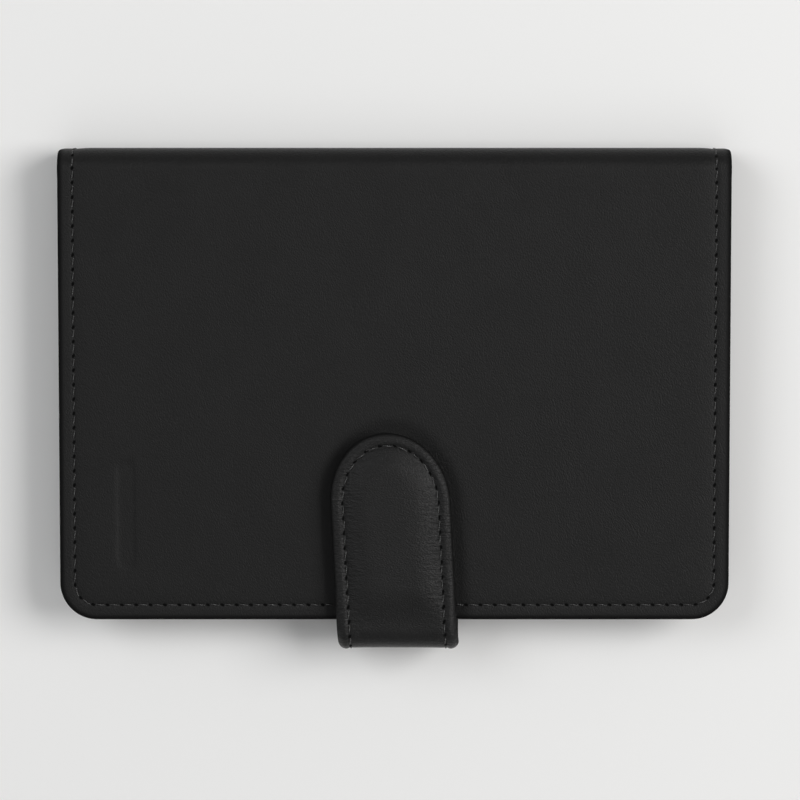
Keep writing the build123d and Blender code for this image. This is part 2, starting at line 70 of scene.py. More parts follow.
hide_low, hide_high = box_mm("back_cover_leather")
LENGTH = hide_high[0] - hide_low[0]
X_END = hide_low[0]
Y_OPEN = hide_low[1]
COVER = hide_high[2]
Y_SPINE = box_mm("spine_leather")[1][1]
THICKNESS = box_mm("front_cover_leather")[1][2]
Y_BOARD = box_mm("back_cover_board")[1][1]
LINING_TOP = box_mm("back_cover_lining")[1][2]
sleeve_low, sleeve_high = box_mm("passport_sleeve")
pocket_low, pocket_high = box_mm("slip_pocket")
POCKET_TOP = THICKNESS - pocket_low[2]
welt_low, welt_high = box_mm("card_slot_welts")
flap_low, flap_high = box_mm("strap_flap_outer_leather")
STRAP_TOP = flap_high[2]
TIP_Y = flap_high[1]
STRAP_WIDTH = flap_high[0] - flap_low[0]
STRAP_LOW = box_mm("strap_root_outer_leather")[0][2]
Y_STRAP = box_mm("strap_bridge_outer_leather")[0][1]
TONGUE_Y = box_mm("strap_root_outer_leather")[1][1]

# ---- driving dimensions that the boxes don't give, in millimetres ----

CORNER_R = 8.0
SPINE_R = 4.5
STRAP_R = 5.0
LEATHER = 1.0
THIN_LEATHER = 0.7
STRAP_THICK = 2.4
STRAP_MIDDLE = 1.2  # depth at which the strap's two leathers meet
SPINE_THIN = 1.6  # the hide and its turned-in edge at the spine
LINING = 0.4
LINING_INSET = 1.5
TURN_IN_WIDTH = 9.0
HEM = 4.0
POCKET_SLANT = 11.0  # how much shorter the slip pocket is at its spine side
SEAM = 3.3
STRAP_SEAM = 2.75
PITCH = 3.1
THREAD_R = 0.2
END_LENGTH = 15.2  # of the half ellipse that ends the strap
TILT = radians(2.9)  # the strap leans a little, as it was snapped shut
TILT_PIVOT_Y = Y_OPEN + 9.5
DENT_WIDTH = 3.0  # of the dent that the strap has pressed in the cover
DENT_DEPTH = 0.35
MARK_DEPTH = 0.14  # of the blank stamped bar in the cover
SKIVE = 0.66  # how much is taken off each face of the strap's root, to go in between the cover's layers


# ---- shapes ----


def smooth(t):
    t = np.clip(t, 0, 1)
    return t * t * (3 - 2 * t)


def rolled(d, r):
    """1 at an edge, falling to 0 at distance r from it, as a quarter of an ellipse."""
    return 1 - np.sqrt(1 - (1 - np.clip(d / r, 0, 1)) ** 2)


def bell(d, width):
    return np.exp(-((d / width) ** 2))


def ripple(x, y, size, seed):
    """A soft unevenness from -1 to 1, as a sum of waves about size long."""
    waves = np.random.default_rng(seed)
    total = np.zeros_like(x)
    for _ in range(7):
        angle, phase = waves.uniform(0, 2 * pi, 2)
        length = size * waves.uniform(0.7, 1.8)
        total += np.sin((x * cos(angle) + y * sin(angle)) * 2 * pi / length + phase)
    return total / 7


class Wrap:
    """Bends a flattened layer: flat on z_low from y_start, up a wall at y_wall, and back flat on z_top."""

    def __init__(self, y_start, y_wall, z_low, z_top, radius):
        self.y_start, self.z_low, self.radius = y_start, z_low, radius
        self.way = 1 if y_wall > y_start else -1
        flat = abs(y_wall - y_start) - radius
        arc, wall = radius * pi / 2, z_top - z_low - 2 * radius
        self.marks = np.cumsum([flat, arc, wall, arc])
        self.middle = flat + arc + wall / 2

    def __call__(self, s, depth):
        """(y, z) of a point s along the outer face and depth inwards from it."""
        first, bend, wall, last = self.marks
        one = np.clip((s - first) / self.radius, 0, pi / 2)
        two = np.clip((s - wall) / self.radius, 0, pi / 2)
        out = np.minimum(s, first) + self.radius * (np.sin(one) - 1 + np.cos(two)) - np.maximum(s - last, 0)
        up = self.radius * (1 - np.cos(one) + np.sin(two)) + np.clip(s - bend, 0, wall - bend)
        turned = one + two
        y = self.y_start + self.way * (out - depth * np.sin(turned))
        return y, self.z_low + up + depth * np.cos(turned)


cover_wrap = Wrap(Y_OPEN, Y_SPINE, 0, THICKNESS, SPINE_R)
strap_wrap = Wrap(TONGUE_Y, Y_STRAP, STRAP_LOW, STRAP_TOP, STRAP_R)
strap_length = strap_wrap.marks[3] + TIP_Y - (Y_STRAP + STRAP_R)


def back_place(u, s, depth):
    y, z = cover_wrap(s, depth)
    return np.stack([X_END + u, y, z], -1)


def front_place(u, s, depth):
    """The front cover mirrors the back cover."""
    points = back_place(u, s, depth)
    points[..., 2] = THICKNESS - points[..., 2]
    return points


def strap_place(u, s, depth):
    """u across the strap, s back from its tip."""
    along = strap_length - s
    y, z = strap_wrap(along, depth)
    pivot = strap_length - (TIP_Y - TILT_PIVOT_Y)
    lean = tan(TILT) * np.minimum(pivot - along, pivot - strap_wrap.marks[2])
    return np.stack([lean + u - STRAP_WIDTH / 2, y, z], -1)


# ---- meshes ----


def make_mesh(name, points, faces, rest=None, edge=None):
    """An object from points in millimetres, smooth but for its sharp edges.

    Its materials read its rest place, in millimetres, and how near each point is to a cut edge, from 0 to 1.
    """
    mesh = bpy.data.meshes.new(name)
    mesh.from_pydata((points * MM).tolist(), [], faces)
    stored = (("rest_mm", "FLOAT_VECTOR", "vector", rest), ("edge", "FLOAT", "value", edge))
    for attribute, kind, field, values in stored:
        if values is not None:
            data = mesh.attributes.new(attribute, kind, "POINT").data
            data.foreach_set(field, values.astype(np.float32).ravel())
    mesh.shade_smooth()
    mesh.set_sharp_from_angle(angle=radians(50))
    mesh.validate()
    made = bpy.data.objects.new(name, mesh)
    bpy.context.scene.collection.objects.link(made)
    return made


def volume_sign(points, faces):
    """1 where four-cornered faces look outwards, -1 where they look inwards."""
    corners = points[faces]
    a, b, c, d = (corners[:, k] for k in range(4))
    return np.sign((a * np.cross(b, c)).sum() + (a * np.cross(c, d)).sum())


def closed(name, top, bottom, rest, edge, window=None):
    """A closed mesh from two equal grids, joined round their border and round a window left open in them."""
    rows, columns = top.shape[:2]
    count = rows * columns
    index = np.arange(count).reshape(rows, columns)
    quads = np.stack([index[:-1, :-1], index[1:, :-1], index[1:, 1:], index[:-1, 1:]], -1)
    if window is not None:
        quads = quads[~window]
    quads = quads.reshape(-1, 4)
    sides = np.concatenate([quads[:, [k, (k + 1) % 4]] for k in range(4)])
    keys, back = sides[:, 0] * count + sides[:, 1], sides[:, 1] * count + sides[:, 0]
    rim = sides[~np.isin(keys, back)]
    walls = np.stack([rim[:, 1], rim[:, 0], rim[:, 0] + count, rim[:, 1] + count], -1)
    faces = np.concatenate([quads, quads[:, ::-1] + count, walls])
    points = np.concatenate([top.reshape(-1, 3), bottom.reshape(-1, 3)])
    used, faces = np.unique(faces, return_inverse=True)
    faces = faces.reshape(-1, 4)
    if volume_sign(points[used], faces) < 0:
        faces = faces[:, ::-1]
    rest, edge = np.concatenate([rest[0], rest[1]])[used], np.tile(edge.ravel(), 2)[used]
    return make_mesh(name, points[used], faces.tolist(), rest, edge)


def curled_lines(roll, count):
    """Distances from an edge for count lines of a grid, closest at the edge and reaching roll."""
    return roll * (1 - np.cos(np.linspace(0, pi / 2, count)))


def edge_lines(seam, roll):
    """Distances from an edge for a grid's lines: close on the rolled edge and on the seam's groove."""
    before_seam = np.linspace(roll, seam - 0.6, 5)[1:]
    on_seam = seam + 0.2 * np.arange(-2, 4)
    return np.concatenate([curled_lines(roll, 7), before_seam, on_seam, [seam + 1.1]])


def lines(length, near, far, step, extra=()):
    """Grid lines along a length: those near each end, even ones between, and any extra ones."""
    far = length - np.asarray(far)
    start, end = max(near), min(far)
    between = np.linspace(start, end, max(int(round((end - start) / step)), 1) + 1)
    found = np.unique(np.round(np.concatenate([near, between, far, extra]), 4))
    return found[np.concatenate([[True], np.diff(found) > 0.02])]


def round_corner(du, ds, ru, rs):
    """Turns the square rings of a grid's corner into rings round it, for a corner of radii ru and rs."""
    ring = np.minimum(du, ds)
    left = np.maximum(ru - ring, 0)
    lean = np.divide(du - ds, left, out=np.full_like(du, -1.0), where=left > MM)
    turn = pi / 4 * (1 + np.clip(lean, -1, 1))
    inside = (du <= ru) & (ds < ru)
    u = np.where(inside, ru - (ru - ring) * np.cos(turn), du)
    return u, np.where(inside, rs - (rs - ring) * np.sin(turn), ds + rs - ru)


EDGE_PINCH = 0.96  # how far a layer's two faces close in on each other at its edge


def plate(
    name,
    us,
    ss,
    place,
    top,
    bottom,
    corner,
    roll,
    far_edge=False,
    right_corner=True,
    window=None,
    rest_end=None,
):
    """A layer with rolled edges, from its grid lines us and ss and the place of its points.

    top and bottom give depths from (u, s, distance from the sewn edges). corner holds the radii of its
    corners along u and s. far_edge rolls the edge at the far end of s too. window is a ((u, u), (s, s)) hole
    in it. rest_end is given where s runs against the other half of the same layer, so that the grain runs on.
    """
    u, s = np.meshgrid(us, ss)
    width, reach = us[-1], ss[-1]
    du = np.minimum(u, width - u)
    near = np.minimum(du, s)
    ru, rs = corner
    new_u, new_s = round_corner(du, s, ru, rs)
    if not right_corner:
        straight = u > width / 2
        new_u, new_s = np.where(straight, du, new_u), np.where(straight, s, new_s)
    u = np.where(u < width / 2, new_u, width - new_u)
    edge = np.minimum(near, reach - s) if far_edge else near
    high, low = top(u, new_s, near), bottom(u, new_s, near)
    middle, ease = (high + low) / 2, EDGE_PINCH * rolled(edge, roll)
    high, low = high + (middle - high) * ease, low + (middle - low) * ease
    rest_s = new_s if rest_end is None else rest_end - new_s
    rest = [np.stack([u.ravel(), rest_s.ravel(), np.full(u.size, side)], -1) for side in (0.0, 100.0)]
    hidden = None
    if window is not None:
        (u0, u1), (s0, s1) = window
        mid_u, mid_s = (us[1:] + us[:-1]) / 2, (ss[1:] + ss[:-1]) / 2
        hidden = ((mid_s > s0) & (mid_s < s1))[:, None] & ((mid_u > u0) & (mid_u < u1))[None, :]
    near_edge = 1 - smooth(edge / (1.3 * roll))
    return closed(name, place(u, new_s, high), place(u, new_s, low), rest, near_edge, hidden)


# ---- seams ----


def measured(route, pitch):
    """How far along a route of (u, s) points each point is, and how many stitches of about pitch fit it."""
    reach = np.concatenate([[0], np.cumsum(np.linalg.norm(np.diff(route, axis=0), axis=1))])
    count = max(int(round(reach[-1] / pitch)), 1)
    return reach, count


def spots_along(route, reach, at):
    """The (u, s) points that lie a distance at along a measured route."""
    return np.stack([np.interp(at, reach, route[:, k]) for k in range(2)], -1)


def u_route(width, reach, corner, inset):
    """Down one side, round both corners of an edge and up the other side, at an inset from the edge."""
    ru, rs = corner
    turn = np.linspace(0, pi / 2, 24)
    bend = np.stack([ru - (ru - inset) * np.cos(turn), rs - (rs - inset) * np.sin(turn)], -1)
    half = np.concatenate([[[inset, reach]], bend])
    other = half[::-1] * [-1, 1] + [width, 0]
    return np.concatenate([half, other])


RING = 8  # corners round a stitch
ALONG = 9  # rings along a stitch
STITCH_START, STITCH_REACH = 0.13, 0.74  # shares of the pitch
MOST_STEP = 0.45  # a stitch over a higher step between two layers is left out


def frames(place, spots, depth, facing):
    """Points on a layer, with the unit vectors along its seam, across the seam and out of the layer.

    facing is 1 for the layer's outer face and -1 for its inner face.
    """
    u, s = spots[..., 0], spots[..., 1]
    at = place(u, s, depth)
    out = place(u, s, depth - facing) - at
    ahead = np.roll(spots, -1, axis=-2)
    ahead[..., -1, :] = 2 * spots[..., -1, :] - spots[..., -2, :]
    run = place(ahead[..., 0], ahead[..., 1], depth) - at
    run /= np.linalg.norm(run, axis=-1, keepdims=True)
    return at, run, np.cross(out, run), out


def stitches(name, place, depth_at, routes, facing=1, pitch=PITCH, thick=THREAD_R, slant=0.1):
    """One thread mesh for some seams: a row of stitches, each diving into a hole at both ends."""
    points, faces, rest = [], [], []
    for route in routes:
        length, count = measured(route, pitch)
        step = length[-1] / count
        share = np.linspace(0, 1, ALONG)
        reach = STITCH_START + STITCH_REACH * share
        offset = (reach[None] + np.arange(count)[:, None]) * step
        spots = spots_along(route, length, offset)
        level = depth_at(spots[..., 0], spots[..., 1])
        keep = np.ptp(level, axis=1) < MOST_STEP
        spots, level = spots[keep], level[keep]
        lift = thick * (1.65 * np.sin(pi * share) - 1.2)
        sway = slant * np.cos(pi * share)
        at, run, across, out = frames(place, spots, level, facing)
        centre = at + out * lift[None, :, None] + across * sway[None, :, None]
        size = thick * (0.72 + 0.28 * np.sin(pi * share))
        around = np.linspace(0, 2 * pi, RING, endpoint=False)
        ring = (
            across[:, :, None] * np.cos(around)[None, None, :, None]
            + out[:, :, None] * np.sin(around)[None, None, :, None]
        )
        tube = centre[:, :, None] + ring * size[None, :, None, None]
        first = sum(len(p) for p in points)
        points.append(tube.reshape(-1, 3))
        mark = np.broadcast_to(share[None, :, None] * step, tube.shape[:3])
        turn = np.broadcast_to(around[None, None], tube.shape[:3])
        rest.append(np.stack([mark.ravel(), turn.ravel(), np.zeros(mark.size)], -1))
        for stitch in range(len(tube)):
            start = first + stitch * ALONG * RING
            for row in range(ALONG - 1):
                low = start + row * RING
                for k in range(RING):
                    faces.append((low + k, low + (k + 1) % RING, low + RING + (k + 1) % RING, low + RING + k))
            faces.append(tuple(start + k for k in reversed(range(RING))))
            faces.append(tuple(start + (ALONG - 1) * RING + k for k in range(RING)))
    return make_mesh(name, np.concatenate(points), faces, np.concatenate(rest))


COVER_HOLE = (0.47, 0.31)  # half length and half width
STRAP_HOLE = (0.6, 0.31)
HOLE_TURN = -0.38  # from the seam's line
HOLE_RINGS = ((1.0, 0.0), (0.9, 0.045), (0.45, 0.04))  # share of the hole's size, height above the leather


def hole_shade_mesh(name, place, depth_at, routes, pitch, size):
    """The needle holes of some seams, as painted shade: small dark slanted ovals that follow the leather, in
    place of the shade inside each hole.
    """
    points, faces = [], []
    around = np.linspace(0, 2 * pi, 12, endpoint=False)
    lengthwise, crosswise = size[0] * np.cos(around), size[1] * np.sin(around)
    forward = lengthwise * cos(HOLE_TURN) - crosswise * sin(HOLE_TURN)
    inward = lengthwise * sin(HOLE_TURN) + crosswise * cos(HOLE_TURN)
    for route in routes:
        length, count = measured(route, pitch)
        spots = spots_along(route, length, np.linspace(0, length[-1], count + 1))
        level = depth_at(spots[:, 0], spots[:, 1])
        at, run, across, out = (v[:, None] for v in frames(place, spots, level, 1))
        rings = []
        for share, height in HOLE_RINGS:
            u, s, beside = np.broadcast_arrays(spots[:, :1], spots[:, 1:], share * inward[None])
            fall = depth_at(u, s, beside) - level[:, None]
            ring = at + run * (share * forward)[None, :, None] + across * beside[..., None]
            rings.append(ring + out * (height - fall)[..., None])
        first = sum(len(p) for p in points)
        points.append(np.stack(rings, 1).reshape(-1, 3))
        corners, ring_count = len(around), len(HOLE_RINGS)
        for start in range(first, first + len(spots) * corners * ring_count, corners * ring_count):
            for low in range(start, start + corners * (ring_count - 1), corners):
                for j in range(corners):
                    nxt = (j + 1) % corners
                    faces.append((low + j, low + nxt, low + corners + nxt, low + corners + j))
            faces.append(tuple(start + corners * (ring_count - 1) + j for j in range(corners)))
    return make_mesh(name, np.concatenate(points), faces)


# ---- materials ----


def new_node(tree, kind, inputs=None, **settings):
    made = tree.nodes.new("ShaderNode" + kind)
    for key, value in settings.items():
        setattr(made, key, value)
    for key, value in (inputs or {}).items():
        if isinstance(value, bpy.types.NodeSocket):
            tree.links.new(value, made.inputs[key])
        else:
            made.inputs[key].default_value = value
    return made


def from_mesh(tree, name):
    """What a mesh stores for its points under a name."""
    return new_node(tree, "Attribute", attribute_name=name).outputs


def material(name, colour, **values):
    """A new material with its tree and its surface shader. values are set on the shader's own sockets."""
    made = bpy.data.materials.new(name)
    made.use_nodes = True
    made.diffuse_color = (*colour, 1)
    surface = made.node_tree.nodes["Principled BSDF"]
    surface.inputs["Base Color"].default_value = (*colour, 1)
    for key, value in values.items():
        surface.inputs[key].default_value = value
    return made, made.node_tree, surface


def maths(tree, operation, a, b=0.0, c=0.0):
    return new_node(tree, "Math", {0: a, 1: b, 2: c}, operation=operation).outputs[0]


def between(tree, value, low, high, to_low=0.0, to_high=1.0):
    settings = {"Value": value, "From Min": low, "From Max": high, "To Min": to_low, "To Max": to_high}
    return new_node(tree, "MapRange", settings, interpolation_type="SMOOTHSTEP").outputs["Result"]


def mixed(tree, share, dark, light):
    """A colour between two, by a share from 0 to 1."""
    ramp = new_node(tree, "ValToRGB", {"Fac": share})
    ramp.color_ramp.elements[0].color = (*dark, 1)
    ramp.color_ramp.elements[1].color = (*light, 1)
    return ramp.outputs["Color"]


def rest_place(tree):
    """The place of a point on the flattened layer, in millimetres."""
    return from_mesh(tree, "rest_mm")["Vector"]


def stretched(tree, vector, scale):
    return new_node(tree, "VectorMath", {0: vector, 1: scale}, operation="MULTIPLY").outputs["Vector"]


def noise(tree, vector, scale, detail=2.0, roughness=0.5):
    settings = {"Vector": vector, "Scale": scale, "Detail": detail, "Roughness": roughness}
    return new_node(tree, "TexNoise", settings, noise_dimensions="3D").outputs["Fac"]


def leather(
    name, tone, light, flow_angle=0.3, grain=1.0, relief=1.0, rough=0.38, shine=0.2, edge_shade_and_dulling=1.0, puckered=0.0
):
    """Matte nappa: a fine wrinkled grain that flows unevenly, with pores and long faint creases.

    grain scales its fineness, relief its height. rough is its least roughness, shine its specular level, and
    edge_shade_and_dulling how far its edges are darkened with painted shade and dulled. puckered is the
    height in millimetres of the gathers beside the strap's seams.
    """
    wrinkle_height, pore_depth, crease_height = 0.14 * relief, 0.02 * relief, 0.013 * relief
    # the first is painted shade, darkening the base colour at the cut edges; the others dull and roughen them
    painted_edge_shade, edge_dulling, edge_roughening = -0.6, -0.17, 0.35
    made, tree, surface = material(name, tone)
    place = rest_place(tree)
    drift = new_node(tree, "TexNoise", {"Vector": place, "Scale": 0.06, "Detail": 1.0}).outputs["Color"]
    bent = new_node(tree, "VectorMath", {0: drift, 1: (4.0, 4.0, 0.0), 2: place}, operation="MULTIPLY_ADD")
    turn = {"Vector": bent.outputs["Vector"], "Angle": flow_angle}
    flow = new_node(tree, "VectorRotate", turn, rotation_type="Z_AXIS").outputs["Vector"]
    wrinkles = noise(tree, stretched(tree, flow, (3.2 * grain, 2.0 * grain, 1.0)), 1.0, 3.0, 0.55)
    cell_settings = {"Vector": stretched(tree, flow, (1.0, 0.75, 1.0)), "Scale": 2.3 * grain}
    cells = new_node(tree, "TexVoronoi", cell_settings, feature="DISTANCE_TO_EDGE").outputs["Distance"]
    pores = between(tree, cells, 0.0, 0.3)
    patches = between(tree, noise(tree, place, 0.05, 3.0), 0.35, 0.65, 0.92, 1.0)
    folds = noise(tree, stretched(tree, flow, (0.32, 0.09, 1.0)), 1.0, 4.0, 0.5)
    crease = between(tree, maths(tree, "ABSOLUTE", maths(tree, "SUBTRACT", folds, 0.5)), 0.0, 0.03)
    height = maths(tree, "MULTIPLY", wrinkles, wrinkle_height)
    height = maths(tree, "MULTIPLY_ADD", pores, pore_depth, height)
    height = maths(tree, "MULTIPLY", height, patches)
    height = maths(tree, "MULTIPLY_ADD", crease, crease_height, height)
    if puckered:
        from_side = new_node(tree, "SeparateXYZ", {"Vector": place}).outputs["X"]
        from_middle = maths(tree, "ABSOLUTE", maths(tree, "SUBTRACT", from_side, STRAP_WIDTH / 2))
        by_seam = maths(tree, "MULTIPLY", between(tree, from_middle, 3.5, 9.0), puckered)
        gathers = noise(tree, stretched(tree, place, (0.5, 1.5, 1.0)), 1.0, 3.0, 0.5)
        height = maths(tree, "MULTIPLY_ADD", gathers, by_seam, height)
    bump = new_node(tree, "Bump", {"Height": height, "Strength": 1.0, "Distance": MM})
    tree.links.new(bump.outputs["Normal"], surface.inputs["Normal"])
    at_edge = maths(tree, "MULTIPLY", from_mesh(tree, "edge")["Fac"], edge_shade_and_dulling)
    tint = maths(tree, "MULTIPLY_ADD", pores, 0.25, maths(tree, "MULTIPLY", wrinkles, 0.5))
    tint = maths(tree, "MULTIPLY_ADD", noise(tree, place, 0.02, 2.0), 0.08, tint)
    # painted shade: the base colour darkens towards the cut edges
    tint = maths(tree, "MULTIPLY_ADD", at_edge, painted_edge_shade, tint)
    tree.links.new(mixed(tree, tint, tone, light), surface.inputs["Base Color"])
    left_at_edge = maths(tree, "MULTIPLY_ADD", at_edge, edge_dulling / shine, 1.0)
    # a plain product, from which the export can read the level away from the edges
    sheen = maths(tree, "MULTIPLY", left_at_edge, shine)
    tree.links.new(sheen, surface.inputs["Specular IOR Level"])
    gloss = maths(tree, "MULTIPLY_ADD", wrinkles, 0.2, rough)
    gloss = maths(tree, "MULTIPLY_ADD", at_edge, edge_roughening, gloss)
    tree.links.new(gloss, surface.inputs["Roughness"])
    return made


WAVE_BANDS = 3.18  # of a wave texture, in each unit at scale 1
DIAGONAL = 1.41


def cloth(name, tone, light, pitch_mm=0.55):
    """A twill: diagonal ribs crossed by finer threads."""
    made, tree, surface = material(name, tone, **{"Roughness": 0.82, "Specular IOR Level": 0.15})
    place = rest_place(tree)
    rib_scale = 1 / (pitch_mm * DIAGONAL * WAVE_BANDS)
    settings = {"Vector": place, "Scale": rib_scale, "Distortion": 0.25, "Detail": 1.0}
    ribs = new_node(tree, "TexWave", settings, wave_type="BANDS", bands_direction="DIAGONAL").outputs["Fac"]
    weft_settings = {"Vector": place, "Scale": 1 / (pitch_mm * 1.9), "Distortion": 0.2}
    weft = new_node(tree, "TexWave", weft_settings, wave_type="BANDS", bands_direction="Y").outputs["Fac"]
    height = maths(tree, "MULTIPLY_ADD", weft, 0.4, ribs)
    bump = new_node(tree, "Bump", {"Height": height, "Strength": 0.5, "Distance": 0.06 * MM})
    tree.links.new(bump.outputs["Normal"], surface.inputs["Normal"])
    woven_tint = maths(tree, "MULTIPLY", height, 0.4)
    tint = maths(tree, "MULTIPLY_ADD", noise(tree, place, 0.5, 3.0), 0.4, woven_tint)
    tree.links.new(mixed(tree, tint, tone, light), surface.inputs["Base Color"])
    return made


def thread_material(name, tone, light):
    """Waxed thread, its plies twisted round it. Its rest place is (way along a stitch, turn round it)."""
    made, tree, surface = material(name, tone, **{"Roughness": 0.27, "Specular IOR Level": 0.8})
    parts = new_node(tree, "SeparateXYZ", {"Vector": rest_place(tree)}).outputs
    turns = maths(tree, "MULTIPLY_ADD", parts["X"], 6.5, parts["Y"])
    ply = maths(tree, "SINE", maths(tree, "MULTIPLY", turns, 2.0))
    bump = new_node(tree, "Bump", {"Height": ply, "Strength": 0.6, "Distance": 0.05 * MM})
    tree.links.new(bump.outputs["Normal"], surface.inputs["Normal"])
    tint = maths(tree, "MULTIPLY_ADD", ply, 0.4, 0.5)
    tree.links.new(mixed(tree, tint, tone, light), surface.inputs["Base Color"])
    return made


def metal(name, tone, light, roughness):
    """Plated metal with fine scratches."""
    made, tree, surface = material(name, tone, **{"Metallic": 1.0})
    place = new_node(tree, "TexCoord").outputs["Object"]
    scratch = noise(tree, stretched(tree, place, (9000.0, 700.0, 700.0)), 1.0, 3.0)
    cloudy = noise(tree, place, 900.0, 2.0)
    tree.links.new(maths(tree, "MULTIPLY_ADD", scratch, 0.2, roughness), surface.inputs["Roughness"])
    tree.links.new(mixed(tree, cloudy, tone, light), surface.inputs["Base Color"])
    bump = new_node(tree, "Bump", {"Height": scratch, "Strength": 0.15, "Distance": 0.01 * MM})
    tree.links.new(bump.outputs["Normal"], surface.inputs["Normal"])
    return made


def fibrous(name, tone, light, scale, roughness=0.95):
    """Board or felt: matted fibres."""
    made, tree, surface = material(name, tone, **{"Roughness": roughness, "Specular IOR Level": 0.1})
    place = new_node(tree, "TexCoord").outputs["Object"]
    fibres = noise(tree, stretched(tree, place, (1.0, 3.0, 3.0)), scale, 4.0, 0.7)
    tree.links.new(mixed(tree, fibres, tone, light), surface.inputs["Base Color"])
    bump = new_node(tree, "Bump", {"Height": fibres, "Strength": 0.5, "Distance": 0.1 * MM})
    tree.links.new(bump.outputs["Normal"], surface.inputs["Normal"])
    return made


BLACK, SOFT_BLACK = (0.0042, 0.0042, 0.0042), (0.0098, 0.0098, 0.0098)
STRAP_BLACK = (0.0027, 0.0027, 0.0027), (0.0068, 0.0068, 0.0068)
hide_leather = leather("nappa", BLACK, SOFT_BLACK)
strap_leather = leather(
    "strap_nappa", *STRAP_BLACK, 1.4, 1.1, rough=0.27, relief=1.15, shine=0.26, edge_shade_and_dulling=0.8, puckered=0.25
)
pocket_leather = leather("pocket_nappa", BLACK, SOFT_BLACK, 0.3, 1.2, 0.8)
twill = cloth("lining_twill", (0.010, 0.010, 0.011), (0.024, 0.024, 0.026))
thread = thread_material("waxed_thread", (0.004, 0.004, 0.004), (0.011, 0.011, 0.011))
# painted shade: a near-black for the ovals that stand in for the shade inside the needle holes
hole_shade_paint = fibrous("painted_hole_shade", (0.0008, 0.0008, 0.0008), (0.002, 0.002, 0.002), 4000.0)
gunmetal = metal("gunmetal", (0.06, 0.06, 0.065), (0.11, 0.11, 0.115), 0.26)
old_brass = metal("old_brass", (0.2, 0.16, 0.1), (0.33, 0.27, 0.17), 0.3)
bright_steel = metal("bright_steel", (0.5, 0.5, 0.51), (0.62, 0.62, 0.63), 0.2)
board_grey = fibrous("fibre_board", (0.24, 0.21, 0.17), (0.4, 0.36, 0.3), 1500.0)
felt_grey = fibrous("felt", (0.09, 0.09, 0.09), (0.17, 0.17, 0.17), 2500.0)
pouch_cloth = fibrous("pouch_cloth", (0.012, 0.012, 0.013), (0.03, 0.03, 0.032), 6000.0)

# ---- how pieces move ----

bend_y = Y_SPINE - SPINE_R
strap_bend_y = Y_STRAP + STRAP_R
FOLDS = {
    "back": ("back_cover", "spine", (0, bend_y, 0), (0, Y_SPINE, SPINE_R)),
    "front": ("spine", "front_cover", (0, Y_SPINE, THICKNESS - SPINE_R), (0, bend_y, THICKNESS)),
    "strap_root": (
        "back_cover", "strap_bridge", (0, strap_bend_y, STRAP_LOW), (0, Y_STRAP, STRAP_LOW + STRAP_R),
    ),
    "strap_end": (
        "strap_bridge", "strap_flap", (0, Y_STRAP, STRAP_TOP - STRAP_R), (0, strap_bend_y, STRAP_TOP),
    ),
}


def settle(piece, skin, mount, replaced=()):
    """Gives a piece its material and slot, and hides the CAD nodes it stands for. It rides a body, or on a
    fold keeps its place with its transform applied.
    """
    piece.data.materials.append(skin)
    if replaced:
        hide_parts(*replaced)
    if mount in FOLDS:
        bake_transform(piece)
    else:
        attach(piece, mount)
    return piece


# ---- covers ----

HALF = cover_wrap.middle
COVER_CORNER = (CORNER_R, CORNER_R)
cover_route = u_route(LENGTH, HALF, COVER_CORNER, SEAM)
board_edge = Y_BOARD - Y_OPEN
MARK_U, MARK_S = (12.6, 16.4), (11.0, 35.0)  # a blank stamped bar near the front cover's left end


def stamped_bar(u, s):
    """1 on a shallow stamped bar with round ends, 0 off it."""
    middle, half = sum(MARK_U) / 2, (MARK_U[1] - MARK_U[0]) / 2
    over = np.maximum(np.maximum(MARK_S[0] + half - s, s - (MARK_S[1] - half)), 0)
    outside = np.hypot(u - middle, over) - half
    return smooth(0.5 - outside / 0.4)


def strap_lean(y):
    """How far the leaning strap's centre-line is off the wallet's."""
    return tan(TILT) * (TILT_PIVOT_Y - y)


def strap_dent(u, s):
    """1 at the closed strap's outline, where it has pressed the cover in, and 0 a little way from it."""
    y = Y_OPEN + s
    across = (X_END + u - strap_lean(y)) / (STRAP_WIDTH / 2)
    beyond = np.maximum(y - (TIP_Y - END_LENGTH), 0) / END_LENGTH
    outside = (np.hypot(across, beyond) - 1) * STRAP_WIDTH / 2
    return (1 - smooth(outside / DENT_WIDTH)) * smooth((outside + 2 * DENT_WIDTH) / DENT_WIDTH)


def cover_face(u, s, d, front):
    """The hide's outer face: a soft rim outside the seam's groove and a barely crowned panel inside it."""
    rim = 0.13 * (1 - smooth((d - SEAM) / 3.5))
    groove = 0.13 * bell(d - SEAM, 0.5)
    wave = 0.011 * (1 + ripple(u, s, 45, 3 + front))
    wave += 0.004 * (1 + ripple(u, s, 8, 5 + front)) * smooth(d / 2)
    if front:
        wave += MARK_DEPTH * stamped_bar(u, s) + DENT_DEPTH * strap_dent(u, s)
    return rim + groove + wave * smooth((HALF - s) / 12)


def hide_inside(u, s, d):
    """The turned-in edge, which steps down to the spine, and the bare back of the hide beyond it."""
    full = COVER - (COVER - SPINE_THIN) * smooth((s - board_edge + 0.5) / 1.5)
    return LEATHER + (full - LEATHER) * (1 - smooth((d - TURN_IN_WIDTH + 0.8) / 0.6))


near_lines = edge_lines(SEAM, 1.2)
far_lines = np.linspace(0, HALF - board_edge + 2, 26)  # fine over the bend into the spine
mark_lines = [MARK_U[0] - 0.1, MARK_U[0] + 0.2, MARK_U[1] - 0.2, MARK_U[1] + 0.1]
hide_us = lines(LENGTH, near_lines, near_lines, PITCH / 3, mark_lines)
hide_ss = lines(HALF, near_lines, far_lines, PITCH / 3, [MARK_S[0], MARK_S[1], TURN_IN_WIDTH - 0.6])


